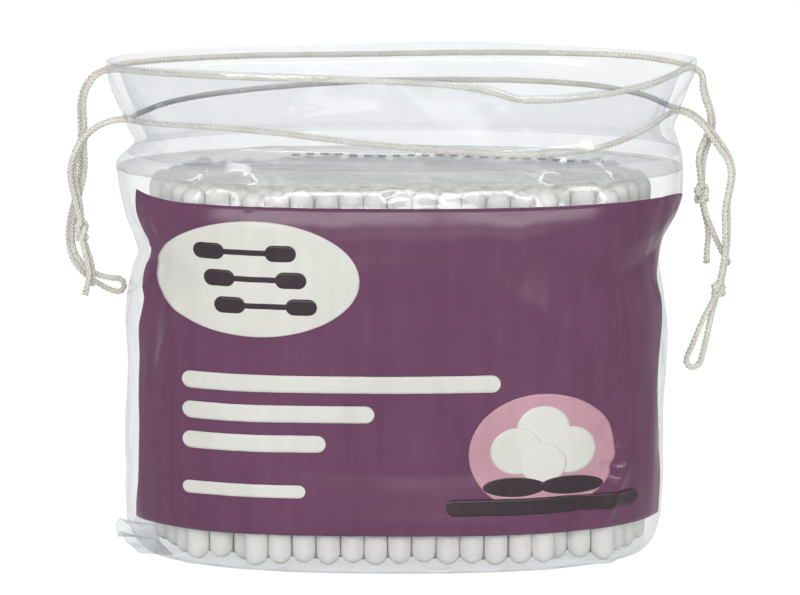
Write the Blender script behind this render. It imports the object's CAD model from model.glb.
# %% [markdown]
# # A drawstring bag of cotton swabs
# The object is a clear film bag, 117 mm wide and 99 mm high, packed with 200 upright cotton swabs. A purple
# field is printed on its front and back, a tear-off film lies over the swabs, and two twisted cotton strings
# run in the hem of the mouth. This lesson builds it piece by piece round a frame of plain solids, which
# says where everything is. Lengths are worked out in millimetres and turned to metres at the last step.

# %% Load the frame and keep its box
import math

import bmesh
import bpy
import numpy as np
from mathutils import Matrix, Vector, noise


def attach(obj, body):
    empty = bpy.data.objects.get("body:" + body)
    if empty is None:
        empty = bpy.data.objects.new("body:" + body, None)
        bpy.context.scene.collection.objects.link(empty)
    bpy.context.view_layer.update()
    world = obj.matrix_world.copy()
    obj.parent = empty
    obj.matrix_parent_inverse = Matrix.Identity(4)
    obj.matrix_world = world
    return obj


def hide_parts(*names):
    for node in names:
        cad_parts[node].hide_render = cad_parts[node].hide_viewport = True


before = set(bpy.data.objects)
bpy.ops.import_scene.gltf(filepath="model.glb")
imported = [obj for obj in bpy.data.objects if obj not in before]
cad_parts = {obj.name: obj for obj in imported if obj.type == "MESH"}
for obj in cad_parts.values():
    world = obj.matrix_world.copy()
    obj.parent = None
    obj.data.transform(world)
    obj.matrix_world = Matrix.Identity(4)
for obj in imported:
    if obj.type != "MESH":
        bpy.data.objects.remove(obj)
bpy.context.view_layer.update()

MM = 0.001

# %% [markdown]
# ## Three helpers
# A colour on a screen is written in sRGB, but light adds up in linear numbers, so one function turns a hex
# colour to linear. Nodes are long to write by hand, so one function adds a node, sets it and links it. Every
# piece that is worked out as points and faces becomes a mesh by the third one.

# %% Helpers for colours, nodes and meshes
def linear(hex_colour):
    """A hex sRGB colour as linear red, green, blue and 1."""
    parts = [int(hex_colour[k:k + 2], 16) / 255 for k in (1, 3, 5)]
    return tuple(p / 12.92 if p <= 0.04045 else ((p + 0.055) / 1.055) ** 2.4 for p in parts) + (1.0,)


def add_node(tree, kind, settings=None, inputs=None):
    """Adds a node, sets its properties, and fills each named or numbered input with a value or a link."""
    node = tree.nodes.new(kind)
    for name, value in (settings or {}).items():
        setattr(node, name, value)
    for name, value in (inputs or {}).items():
        if isinstance(value, bpy.types.NodeSocket):
            tree.links.new(value, node.inputs[name])
        else:
            node.inputs[name].default_value = value
    return node


def mesh_piece(name, points_mm, faces, material=None, smooth=True):
    """A mesh object at the origin, with its place in its own points."""
    mesh = bpy.data.meshes.new(name)
    mesh.from_pydata([tuple(p) for p in np.asarray(points_mm) * MM], [], faces)
    mesh.polygons.foreach_set("use_smooth", [smooth] * len(mesh.polygons))
    if material:
        mesh.materials.append(material)
    mesh.update()
    piece = bpy.data.objects.new(name, mesh)
    bpy.context.scene.collection.objects.link(piece)
    return piece


print("white is", linear("#FFFFFF"), "and mid grey is", [round(v, 3) for v in linear("#808080")])

# %% [markdown]
# ## The camera
# The photograph is taken straight from the front, 12 degrees from above, with a long lens. A long lens keeps
# the sides of the bag nearly parallel. The distance and the lens were fitted to the rows of swabs and the
# corners of the printed field.

# %% The camera
CAMERA_DISTANCE, CAMERA_TILT, LOOK_HEIGHT = 650.0, math.radians(12.33), 50.2
camera = bpy.data.objects.new("camera", bpy.data.cameras.new("camera"))
camera.data.sensor_width = 36.0
camera.data.lens = 3225.1 / 800 * 36.0
camera.location = Vector((0, -CAMERA_DISTANCE * math.cos(CAMERA_TILT),
                          LOOK_HEIGHT + CAMERA_DISTANCE * math.sin(CAMERA_TILT))) * MM
camera.rotation_euler = (math.radians(90) - CAMERA_TILT, 0, 0)
bpy.context.scene.collection.objects.link(camera)
bpy.context.scene.camera = camera
print("lens %.1f mm, camera at %s" % (camera.data.lens, [round(v, 3) for v in camera.location]))

# %% [markdown]
# ## Cotton, in two makings
# The strings are bleached cotton yarn, three plies twisted together. Yarn has no gloss, fine fibres along
# each ply, and a soft light edge, which a sheen gives. The pattern follows the plies, so it reads a UV map
# that counts millimetres along and round each ply. The tips are loose cotton fibre wound on the stick
# and pressed: whiter, softer, with short fibres lying round the tip and shallow lumps.

# %% Materials: twisted cotton yarn and wound cotton
def new_material(name):
    """An empty node material and its output node."""
    material = bpy.data.materials.new(name)
    material.use_nodes = True
    material.node_tree.nodes.clear()
    return material, material.node_tree, material.node_tree.nodes.new("ShaderNodeOutputMaterial")


# Twisted cotton yarn: matt, warm white, darker in the grooves between the plies
cotton_yarn, tree, output = new_material("twisted_cotton_yarn")
uv = add_node(tree, "ShaderNodeUVMap", {"uv_map": "along_and_round"})
stretch = add_node(tree, "ShaderNodeMapping", {}, {"Vector": uv.outputs[0], "Scale": (0.6, 5.0, 1.0)})
fibres = add_node(tree, "ShaderNodeTexNoise", {}, {"Vector": stretch.outputs[0], "Scale": 2.0, "Detail": 3.0})
place = add_node(tree, "ShaderNodeTexCoord")
blots = add_node(tree, "ShaderNodeTexNoise", {}, {"Vector": place.outputs["Object"], "Scale": 1 / (6 * MM)})
mottle = add_node(tree, "ShaderNodeMath", {"operation": "MULTIPLY"}, {0: fibres.outputs[0], 1: blots.outputs[0]})
tone = add_node(tree, "ShaderNodeMapRange", {}, {"Value": mottle.outputs[0], "From Min": 0.12, "From Max": 0.4})
colour = add_node(tree, "ShaderNodeMix", {"data_type": "RGBA"},
                  {0: tone.outputs[0], 6: linear("#D0CDC3"), 7: linear("#EAE7DF")})
bump = add_node(tree, "ShaderNodeBump", {}, {"Strength": 0.6, "Distance": 0.08 * MM, "Height": fibres.outputs[0]})
shader = add_node(tree, "ShaderNodeBsdfPrincipled", {},
                  {"Base Color": colour.outputs[2], "Roughness": 0.9, "Specular IOR Level": 0.2,
                   "Sheen Weight": 0.25, "Sheen Roughness": 0.5, "Normal": bump.outputs[0]})
tree.links.new(shader.outputs[0], output.inputs[0])

# Wound cotton: fibres 0.02 mm thick lie in wisps about 0.5 mm wide round the tip
cotton_wool, tree, output = new_material("wound_cotton_wool")
place = add_node(tree, "ShaderNodeTexCoord")
lie = add_node(tree, "ShaderNodeMapping", {}, {"Vector": place.outputs["Object"], "Scale": (1.0, 1.0, 2.6)})
wisps = add_node(tree, "ShaderNodeTexNoise", {},
                 {"Vector": lie.outputs[0], "Scale": 1 / (1.1 * MM), "Detail": 4.0, "Roughness": 0.6})
colour = add_node(tree, "ShaderNodeMix", {"data_type": "RGBA"},
                  {0: wisps.outputs[0], 6: linear("#E2E0D9"), 7: linear("#F7F6F3")})
bump = add_node(tree, "ShaderNodeBump", {}, {"Strength": 0.5, "Distance": 0.1 * MM, "Height": wisps.outputs[0]})
shader = add_node(tree, "ShaderNodeBsdfPrincipled", {},
                  {"Base Color": colour.outputs[2], "Roughness": 0.95, "Specular IOR Level": 0.15,
                   "Sheen Weight": 0.3, "Sheen Roughness": 0.6, "Normal": bump.outputs[0]})
tree.links.new(shader.outputs[0], output.inputs[0])
print("materials:", [m.name for m in bpy.data.materials])

# %% [markdown]
# ## The routes of the two strings
# Each string is one loop of soft yarn. Its bight hangs out of one side of the bag, and its two ends come out
# at the other side and are tied there. A drawn line of the yarn's middle is all that is needed: a NURBS curve
# is pulled towards its points without touching them, so it bends as softly as yarn does.

# %% The routes, from knot to knot
UPPER_ROUTE = [
    (60.3, 0.9, 72.4), (60.1, 0.9, 75.2), (59.5, 0.9, 78.6), (60.6, 0.9, 81.8), (61.9, 0.9, 84.8),
    (61.8, 0.8, 87.8), (60.6, 0.2, 90.6), (59.9, -0.5, 93.2), (60.1, -0.9, 95.4), (58.6, -0.9, 96.9),
    (56.6, -2.8, 97.2), (53.9, -6.6, 96.5), (49.4, -10.7, 95.1), (43.0, -14.4, 94.2), (35.5, -17.6, 93.6),
    (28.0, -20.0, 93.3), (22.8, -21.2, 93.6), (18.6, -22.0, 95.0), (12.6, -22.9, 96.5),
    (3.6, -23.7, 97.4), (-8.0, -23.5, 97.8), (-20.0, -21.9, 97.9), (-31.4, -19.0, 97.8),
    (-41.2, -15.2, 97.7), (-49.0, -10.9, 97.6), (-53.8, -6.7, 97.4), (-56.5, -2.9, 97.0),
    (-58.6, -0.9, 96.5), (-60.8, -0.7, 95.2), (-62.4, -0.1, 92.6), (-63.2, 0.6, 89.4),
    (-62.9, 0.9, 85.4), (-63.1, 0.9, 80.8), (-63.0, 0.9, 76.2), (-64.1, 0.9, 71.6),
    (-65.3, 0.9, 67.0), (-66.0, 0.9, 62.8), (-65.7, 0.9, 59.6), (-64.2, 0.9, 57.0),
    (-62.1, 0.9, 55.3), (-59.9, 0.9, 54.4), (-58.1, 1.0, 54.0), (-56.6, 1.1, 54.0),
    (-55.7, 1.3, 53.1), (-55.7, 1.6, 51.9), (-56.6, 1.9, 51.0), (-58.2, 2.1, 51.2),
    (-60.3, 2.3, 52.2), (-62.7, 2.3, 53.8), (-65.1, 2.3, 56.0), (-66.6, 2.3, 59.0),
    (-66.9, 2.3, 62.8), (-66.2, 2.3, 67.0), (-64.9, 2.3, 71.4), (-63.9, 2.3, 76.0),
    (-64.0, 2.3, 80.8), (-63.8, 2.3, 85.4), (-64.0, 2.1, 89.6), (-62.9, 1.6, 92.9),
    (-61.1, 1.1, 95.3), (-58.6, 0.9, 96.5), (-56.5, 2.9, 96.9), (-53.8, 6.7, 96.9),
    (-49.0, 10.9, 96.8), (-41.2, 15.2, 96.7), (-31.4, 19.0, 96.6), (-20.0, 21.9, 96.4),
    (-8.0, 23.5, 96.3), (4.4, 23.7, 96.5), (16.4, 22.5, 96.8), (28.0, 20.0, 97.1),
    (38.2, 16.5, 97.4), (46.6, 12.4, 97.6), (52.7, 7.8, 97.5), (56.5, 2.9, 97.2),
    (58.6, 0.9, 96.9), (60.3, 1.1, 95.4), (60.5, 1.6, 92.8), (61.5, 2.1, 89.8),
    (62.7, 2.3, 86.6), (62.4, 2.3, 83.2), (61.2, 2.3, 80.0), (60.6, 2.3, 76.4), (60.7, 2.3, 72.4),
]
LOWER_ROUTE = [
    (-63.9, -2.1, 65.3), (-64.3, -2.1, 68.2), (-65.1, -2.1, 71.6), (-65.9, -2.1, 75.4),
    (-65.3, -2.1, 79.2), (-63.5, -2.0, 82.8), (-60.5, -1.7, 85.4), (-57.0, -1.1, 86.6),
    (-54.3, -0.9, 86.6), (-52.4, -3.4, 86.8), (-49.2, -8.8, 87.2), (-43.2, -13.7, 87.6),
    (-34.2, -18.1, 87.8), (-23.0, -21.4, 87.3), (-11.0, -23.3, 86.0), (1.0, -23.9, 84.9),
    (12.6, -23.3, 83.8), (23.6, -21.4, 82.9), (33.2, -18.7, 82.9), (40.6, -15.4, 83.8),
    (46.6, -11.3, 85.4), (50.6, -6.9, 87.0), (53.2, -2.9, 88.2), (55.4, -0.9, 88.5),
    (57.8, -1.1, 87.6), (60.0, -1.4, 85.9), (61.7, -1.8, 83.6), (63.5, -2.0, 81.0),
    (65.4, -2.1, 78.4), (66.0, -2.1, 75.4), (65.4, -2.1, 72.0), (64.7, -2.1, 68.4),
    (65.0, -2.1, 64.4), (65.1, -2.1, 60.4), (64.6, -2.1, 56.6), (64.0, -2.1, 53.2),
    (63.0, -2.1, 50.2), (61.4, -2.0, 47.2), (60.1, -1.9, 44.0), (59.0, -1.9, 41.0),
    (58.0, -1.8, 38.8), (57.6, -1.8, 37.3), (58.5, -1.6, 36.1), (59.7, -1.4, 36.1),
    (60.6, -1.2, 37.0), (61.2, -1.0, 39.0), (61.8, -0.8, 41.8), (62.4, -0.7, 45.0),
    (63.1, -0.7, 48.4), (64.0, -0.7, 51.6), (64.9, -0.7, 55.0), (65.5, -0.7, 58.8),
    (65.8, -0.7, 62.8), (65.6, -0.7, 66.8), (65.6, -0.7, 70.6), (66.4, -0.7, 74.0),
    (66.5, -0.7, 77.2), (65.2, -0.7, 80.0), (63.5, -0.6, 82.4), (61.7, -0.5, 84.7),
    (59.8, 0.0, 86.6), (57.7, 0.6, 88.0), (55.4, 0.9, 88.5), (53.2, 2.9, 89.0),
    (50.9, 7.4, 89.8), (46.4, 11.5, 90.5), (40.4, 15.5, 91.0), (32.8, 18.7, 91.2),
    (22.6, 21.4, 91.3), (11.0, 23.2, 91.1), (-1.0, 23.8, 90.9), (-13.0, 23.0, 90.5),
    (-24.4, 21.0, 90.0), (-35.0, 17.8, 89.4), (-43.6, 13.5, 88.7), (-49.2, 8.9, 87.8),
    (-52.4, 3.4, 87.0), (-54.3, 0.9, 86.6), (-57.0, 0.5, 86.4), (-60.5, -0.2, 85.2),
    (-63.2, -0.6, 82.6), (-64.8, -0.7, 79.2), (-65.1, -0.7, 75.4), (-64.4, -0.7, 71.6),
    (-63.8, -0.7, 68.2), (-63.7, -0.7, 65.3),
]
UPPER_TAILS = [
    [(60.8, 1.2, 69.8), (61.2, 1.2, 67.6), (62.2, 1.1, 65.0), (63.4, 1.0, 62.2), (64.8, 0.9, 59.4),
     (66.3, 0.9, 56.9)],
    [(60.6, 2.0, 69.8), (61.1, 2.2, 67.4), (61.9, 2.3, 64.6), (62.1, 2.3, 61.8), (61.8, 2.3, 59.2),
     (61.9, 2.3, 56.8)],
]
LOWER_TAILS = [
    [(-63.7, -1.9, 62.8), (-63.3, -2.1, 60.6), (-62.7, -2.1, 58.0), (-62.3, -2.1, 55.4),
     (-62.7, -2.1, 53.2), (-63.3, -2.1, 51.2)],
    [(-63.5, -0.9, 62.8), (-62.8, -0.7, 60.4), (-62.0, -0.7, 57.8), (-61.7, -0.7, 55.2),
     (-61.9, -0.7, 52.8)],
]


def smooth_line(name, route_mm):
    """Points along the NURBS curve that has the route as its control points, in mm."""
    curve = bpy.data.curves.new(name, "CURVE")
    curve.dimensions = "3D"
    spline = curve.splines.new("NURBS")
    spline.points.add(len(route_mm) - 1)
    for point, place_mm in zip(spline.points, route_mm):
        point.co = (*[v * MM for v in place_mm], 1.0)
    spline.order_u = 3
    spline.use_endpoint_u = True
    spline.resolution_u = 8
    holder = bpy.data.objects.new(name, curve)
    bpy.context.scene.collection.objects.link(holder)
    mesh = bpy.data.meshes.new_from_object(holder)
    line = np.array([tuple(v.co) for v in mesh.vertices]) / MM
    bpy.data.objects.remove(holder)
    bpy.data.meshes.remove(mesh)
    return line


def even_steps(line, step):
    """The same line with its points a fixed step apart."""
    along = np.concatenate([[0], np.cumsum(np.linalg.norm(np.diff(line, axis=0), axis=1))])
    places = np.linspace(0, along[-1], max(4, int(along[-1] / step)))
    return np.stack([np.interp(places, along, line[:, k]) for k in range(3)], axis=1), places


upper_line, lower_line = smooth_line("upper_route", UPPER_ROUTE), smooth_line("lower_route", LOWER_ROUTE)
for title, line in (("upper", upper_line), ("lower", lower_line)):
    print(title, "line is %.1f mm long" % np.linalg.norm(np.diff(line, axis=0), axis=1).sum())

# %% [markdown]
# ## Twisting the plies
# Yarn could be one tube with a twisted bump, but its outline would stay smooth. Here each ply is its own
# closed tube that winds round the middle line, so the outline is knobbly, as in the photograph. The ply
# needs a steady sideways direction at every point of the line. It is carried along from point to point,
# and only turned as much as the line turns.

# %% Plies wound round a line
YARN_DIAMETER, PLIES, TWIST_PITCH, PLY_SIDES = 1.2, 3, 2.7, 6


def carried_sides(line):
    """Two directions across the line at each of its points, carried along it without twisting."""
    along = np.gradient(line, axis=0)
    along /= np.linalg.norm(along, axis=1)[:, None]
    side = np.cross(along[0], (0.3, 1.0, 0.2))
    sides = []
    for direction in along:
        side = side - direction * side.dot(direction)
        side = side / np.linalg.norm(side)
        sides.append(side)
    sides = np.array(sides)
    return sides, np.cross(along, sides)


def tube_mesh(centres, side, other, radii, first):
    """Points and faces of one closed tube, whose points are numbered from first."""
    turns = np.arange(PLY_SIDES) * 2 * math.pi / PLY_SIDES
    rings = (centres[:, None] + radii[:, None, None] * (np.cos(turns)[None, :, None] * side[:, None]
                                                         + np.sin(turns)[None, :, None] * other[:, None]))
    faces = []
    for row in range(len(centres) - 1):
        for k in range(PLY_SIDES):
            here, after = row * PLY_SIDES + k, row * PLY_SIDES + (k + 1) % PLY_SIDES
            faces.append((first + here, first + after, first + after + PLY_SIDES, first + here + PLY_SIDES))
    faces.append(tuple(first + k for k in reversed(range(PLY_SIDES))))
    last = first + (len(centres) - 1) * PLY_SIDES
    faces.append(tuple(last + k for k in range(PLY_SIDES)))
    return rings.reshape(-1, 3), faces


def yarn(lines, diameter=YARN_DIAMETER, step=0.3, fray=0.0):
    """Points, faces and UVs of twisted plies along each of the lines. Fray spreads them at the far end."""
    points, faces, lengths = [], [], []
    count = 0
    for line in lines:
        line, places = even_steps(line, step)
        side, other = carried_sides(line)
        loose = np.clip((places - places[-1] + 2.5) / 2.5, 0, 1) * fray
        for ply in range(PLIES):
            turn = (2 * math.pi * (places / TWIST_PITCH + ply / PLIES))[:, None]
            middle = line + (0.26 * diameter + loose[:, None]) * (np.cos(turn) * side + np.sin(turn) * other)
            swell = 0.27 * diameter * (1 + 0.06 * np.sin(places * 1.7 + ply * 2.1))
            ply_points, ply_faces = tube_mesh(middle, side, other, swell, count)
            points.append(ply_points)
            faces += ply_faces
            lengths.append(np.repeat(places, PLY_SIDES))
            count += len(ply_points)
    return np.concatenate(points), faces, np.concatenate(lengths)


def yarn_piece(name, lines, **shape):
    """One mesh of plies along the lines, with a UV map in mm along and sixths round."""
    points, faces, lengths = yarn(lines, **shape)
    piece = mesh_piece(name, points, faces, cotton_yarn)
    layer = piece.data.uv_layers.new(name="along_and_round")
    corners = np.zeros(len(piece.data.loops), dtype=np.int64)
    piece.data.loops.foreach_get("vertex_index", corners)
    places = np.stack([lengths[corners], (corners % PLY_SIDES) / PLY_SIDES], axis=1)
    layer.data.foreach_set("uv", places.astype(np.float32).ravel())
    return piece


upper_string = yarn_piece("upper_string", [upper_line])
lower_string = yarn_piece("lower_string", [lower_line])
print("upper string has", len(upper_string.data.polygons), "faces")

# %% [markdown]
# ## Knots and their tails
# The ends of each loop are held together by a small overhand knot, pulled tight. A knot could be a lump, but
# then no strand goes over another. A trefoil is the simplest closed line that is knotted, so the same yarn
# wound along a squeezed trefoil gives a lump with real crossings. The tails leave it and open a little.

# %% Knots
def trefoil(middle, half_sizes):
    """A closed knotted line that fills the box of the given half sizes."""
    turn = np.linspace(0, 2 * math.pi, 90)
    radius = (2 + np.cos(3 * turn)) / 3
    shape = np.stack([np.sin(3 * turn), radius * np.sin(2 * turn), radius * np.cos(2 * turn)], axis=1)
    return np.array(middle) + shape * (np.array(half_sizes) - 0.45 * YARN_DIAMETER)


upper_tails = [smooth_line("upper_tail", route) for route in UPPER_TAILS]
lower_tails = [smooth_line("lower_tail", route) for route in LOWER_TAILS]
upper_knot = yarn_piece("upper_knot", [trefoil((60.5, 1.6, 71.2), (1.5, 1.9, 2.3))] + upper_tails, fray=0.12)
lower_knot = yarn_piece("lower_knot", [trefoil((-63.7, -1.4, 64.2), (1.3, 1.9, 2.5))] + lower_tails, fray=0.12)
bight_knot = yarn_piece("bight_knot", [trefoil((64.0, -1.4, 52.2), (1.4, 1.9, 1.9))])
for piece, node in ((upper_string, "drawstring_upper"), (lower_string, "drawstring_lower"),
                    (upper_knot, "upper_end_knot"), (lower_knot, "lower_end_knot"),
                    (bight_knot, "lower_bight_knot")):
    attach(piece, "root")
    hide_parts(node)
print("knots:", upper_knot.name, lower_knot.name, bight_knot.name)

# %% [markdown]
# ## The shape of the bag as one rule
# A bag of film has no drawing: it is a tube that is full of swabs below and open above. Cloth simulation could
# find its shape, but here the shape is known, because the swabs fix it and the photograph shows its sides.
# So one function gives the point of the film for a turn round the bag and a height. The section is a
# superellipse, which runs from a rounded box low down to a pointed lens at the mouth. The print, the
# seam lines and the film all ask the same function, so that they lie on each other everywhere.

# %% Widths by height, read off the two sides of the bag in mm
BAG_LEFT = [(0.0, 52.6), (1.0, 53.6), (3.0, 54.7), (7.0, 55.4), (17.0, 55.6), (30.0, 55.4), (40.0, 54.9),
            (52.0, 54.6), (56.0, 53.7), (60.0, 52.6), (63.7, 53.2), (67.3, 54.7), (71.0, 55.5), (75.5, 56.2),
            (78.6, 56.3), (80.6, 54.2), (82.3, 52.8), (84.4, 53.9), (86.8, 54.7), (89.2, 55.7), (92.8, 57.4),
            (96.4, 58.5), (99.1, 58.7)]
BAG_RIGHT = [(0.0, 50.6), (1.0, 51.4), (3.0, 52.1), (7.0, 52.8), (12.0, 53.2), (30.0, 53.2), (40.0, 53.5),
             (52.0, 53.1), (57.5, 52.1), (61.0, 52.1), (64.9, 53.4), (68.6, 55.3), (72.2, 56.4), (76.0, 56.6),
             (79.5, 56.3), (83.2, 55.0), (85.8, 54.3), (88.0, 55.0), (90.8, 56.0), (94.0, 57.4), (96.4, 58.4),
             (99.1, 58.7)]
BAG_DEPTH = [(0.0, 25.6), (2.3, 26.5), (6.0, 26.9), (14.0, 27.1), (30.0, 26.8), (52.0, 26.8), (64.0, 26.8),
             (69.0, 26.6), (73.0, 25.6), (77.0, 24.4), (80.0, 24.5), (84.0, 24.8), (99.1, 24.8)]
BAG_POWER = [(0.0, 2.45), (6.0, 2.6), (59.0, 2.55), (68.0, 2.4), (77.0, 2.25), (82.6, 2.1), (90.8, 1.95),
             (99.1, 1.8)]
LIP_HEIGHT, WELD_HEIGHT, SEAL_HEIGHT, FILM = 99.1, 80.3, 77.2, 0.08


def along_table(table, height):
    """The value at each height on a smooth curve through the rows of a table."""
    knots, values = np.array(table).T
    slopes = np.gradient(values, knots)
    height = np.clip(height, knots[0], knots[-1])
    step = np.clip(np.searchsorted(knots, height) - 1, 0, len(knots) - 2)
    gap = knots[step + 1] - knots[step]
    part = (height - knots[step]) / gap
    return ((2 * part ** 3 - 3 * part ** 2 + 1) * values[step]
            + (part ** 3 - 2 * part ** 2 + part) * gap * slopes[step]
            + (3 * part ** 2 - 2 * part ** 3) * values[step + 1]
            + (part ** 3 - part ** 2) * gap * slopes[step + 1])


def plain_section(turn, height):
    """The bag without any crease: place across and back, and the outward direction there."""
    turn, height = np.broadcast_arrays(np.asarray(turn, float), np.asarray(height, float))
    across, along = np.cos(turn), np.sin(turn)
    width = np.where(across < 0, along_table(BAG_LEFT, height), along_table(BAG_RIGHT, height))
    depth, power = along_table(BAG_DEPTH, height), along_table(BAG_POWER, height)
    x = width * np.sign(across) * np.abs(across) ** (2 / power)
    y = depth * np.sign(along) * np.abs(along) ** (2 / power)
    out_x = np.sign(across) * np.abs(across) ** (2 - 2 / power) / width
    out_y = np.sign(along) * np.abs(along) ** (2 - 2 / power) / depth
    size = np.hypot(out_x, out_y)
    return x, y, out_x / size, out_y / size


def turn_at(x, height, front=True):
    """The turn round the bag at which the film is at x, on the front or the back."""
    x, height = np.broadcast_arrays(np.asarray(x, float), np.asarray(height, float))
    width = np.where(x < 0, along_table(BAG_LEFT, height), along_table(BAG_RIGHT, height))
    share = np.sign(x) * np.clip(np.abs(x) / width, 0, 1) ** (along_table(BAG_POWER, height) / 2)
    return -np.arccos(share) if front else np.arccos(share)


print("width at the waist, mm: left %.1f right %.1f" % (along_table(BAG_LEFT, 60.0), along_table(BAG_RIGHT, 60.0)))

# %% [markdown]
# ## Creases, ribs and waves
# Film folds sharply where it is pulled and lies in soft waves where it is loose. A bump map would show on
# lit places only, and clear film is seen by its slopes, so the creases are real. Each crease is a line of
# points on the bag, a height of its ridge and a width. A point of the film moves out by what every crease
# near it says. The front swabs press soft ribs into the film, as wide apart as the swabs are.

# %% The relief of the film
SWAB_PITCH = 4.75
ROW_PITCH = SWAB_PITCH * math.sin(math.radians(60))
ROW_COUNTS = [13, 18, 19, 20, 21, 20, 21, 20, 19, 18, 11]
SWAB_AXES = np.array([((place - (count - 1) / 2) * SWAB_PITCH, (row - 5) * ROW_PITCH)
                      for row, count in enumerate(ROW_COUNTS) for place in range(count)])

# Points (x, height) of each crease on the front, how far its ridge stands out, and its width, in mm
FRONT_CREASES = [
    ([(38.7, 29.3), (41.5, 27.0), (43.2, 23.3)], -2.1, 2.0), ([(39.3, 21.3), (44.6, 20.3)], -2.0, 1.2),
    ([(45.3, 21.0), (43.2, 18.5), (42.2, 14.8)], 2.0, 1.5), ([(42.0, 14.8), (40.3, 8.9)], 1.7, 1.5),
    ([(30.0, 15.2), (35.0, 13.6), (38.7, 10.3)], -1.7, 2.4), ([(40.7, 36.6), (46.5, 38.6)], -1.4, 2.2),
    ([(21.0, 57.0), (31.0, 50.5), (40.0, 44.5), (46.5, 41.5)], 1.6, 4.5),
    ([(26.0, 48.0), (36.0, 42.5), (44.0, 33.0)], -1.3, 4.0), ([(12.0, 45.0), (24.0, 40.0)], -0.9, 5.0),
    ([(-46.0, 14.0), (-40.0, 9.5), (-30.0, 8.0)], 1.0, 3.0), ([(-47.0, 70.0), (-48.0, 52.0), (-49.0, 30.0)], -1.4, 2.6),
    ([(-52.0, 62.0), (-47.0, 59.5), (-40.0, 58.0)], -1.4, 1.8), ([(-52.5, 54.0), (-47.5, 56.0)], 1.0, 1.2),
    ([(50.5, 62.0), (45.0, 59.0), (36.0, 58.0)], -1.4, 2.0), ([(50.0, 66.0), (42.0, 64.5)], 1.1, 2.0),
    ([(-22.0, 22.0), (4.0, 20.5), (22.0, 21.5)], -1.0, 3.5), ([(-10.0, 11.0), (14.0, 10.4), (34.0, 10.8)], 0.9, 3.0),
    ([(-48.5, 71.0), (-46.6, 66.0), (-50.6, 61.6)], 1.2, 1.0),
    ([(-44.0, 52.0), (-46.2, 45.2), (-48.4, 39.7)], 1.1, 1.3),
    ([(-54.6, 97.0), (-51.0, 90.0), (-46.5, 82.0), (-43.6, 77.6)], 0.9, 1.1),
    ([(-52.6, 97.0), (-49.0, 90.0), (-44.6, 82.0), (-42.4, 78.0)], -0.5, 0.9),
    ([(55.0, 96.5), (51.5, 90.0), (48.5, 82.0), (47.6, 77.5)], 0.9, 1.1),
    ([(57.4, 95.0), (54.0, 86.0), (51.4, 78.0)], 0.7, 0.9), ([(53.2, 84.0), (51.5, 76.0), (50.4, 71.0)], 0.7, 0.9),
    ([(37.6, 80.4), (42.0, 82.6), (47.8, 85.6)], 0.8, 0.9), ([(38.0, 80.0), (44.0, 79.4), (49.5, 79.0)], 0.8, 0.8),
    ([(39.0, 79.2), (44.0, 76.6), (49.0, 73.2)], 0.7, 0.8), ([(38.4, 79.4), (41.6, 75.2), (46.0, 71.6)], 0.6, 0.7),
    ([(36.0, 81.2), (41.0, 87.5), (46.0, 92.5)], 0.7, 1.0), ([(40.0, 86.0), (36.0, 92.0)], -0.6, 1.2),
    ([(22.6, 93.4), (23.6, 90.8), (24.4, 88.0)], -0.9, 0.8), ([(19.8, 94.8), (21.6, 92.0)], 0.5, 0.8),
    ([(-35.0, 92.4), (-29.0, 90.2), (-24.0, 89.4), (-17.0, 91.0), (-6.0, 92.2)], 0.55, 1.3),
    ([(-36.0, 90.4), (-27.0, 87.8), (-19.0, 88.6)], -0.45, 1.2),
    ([(-51.0, 86.6), (-44.0, 90.0), (-38.0, 92.0)], 0.5, 1.1), ([(-50.0, 84.0), (-43.0, 85.6), (-36.0, 85.0)], -0.5, 1.4),
    ([(-49.0, 77.8), (-40.0, 80.4), (-30.0, 82.4)], 0.6, 1.3), ([(-38.0, 78.2), (-26.0, 80.6), (-12.0, 81.8)], 0.5, 1.2),
    ([(-52.5, 79.0), (-48.0, 80.4), (-44.0, 79.4)], 0.5, 0.8), ([(10.0, 82.0), (22.0, 80.6), (34.0, 80.4)], 0.4, 1.4),
]
BACK_CREASES = [
    ([(-54.0, 96.0), (-50.0, 88.0), (-45.0, 78.0)], 0.8, 1.2), ([(54.0, 96.0), (50.0, 88.0), (46.0, 78.0)], 0.8, 1.2),
    ([(46.5, 97.0), (44.5, 92.0), (43.6, 88.6)], 0.5, 0.9), ([(-30.0, 90.0), (-12.0, 93.0), (4.0, 91.0)], -0.5, 2.0),
    ([(-46.0, 40.0), (-30.0, 32.0), (-14.0, 30.0)], -0.4, 3.5), ([(20.0, 60.0), (36.0, 52.0), (48.0, 50.0)], 0.45, 3.0),
    ([(24.0, 18.0), (38.0, 12.0)], -0.4, 2.5), ([(-44.0, 12.0), (-38.0, 20.0)], 0.4, 1.8),
    ([(8.0, 80.0), (20.0, 84.0), (30.0, 90.0)], 0.5, 1.5),
]
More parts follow.
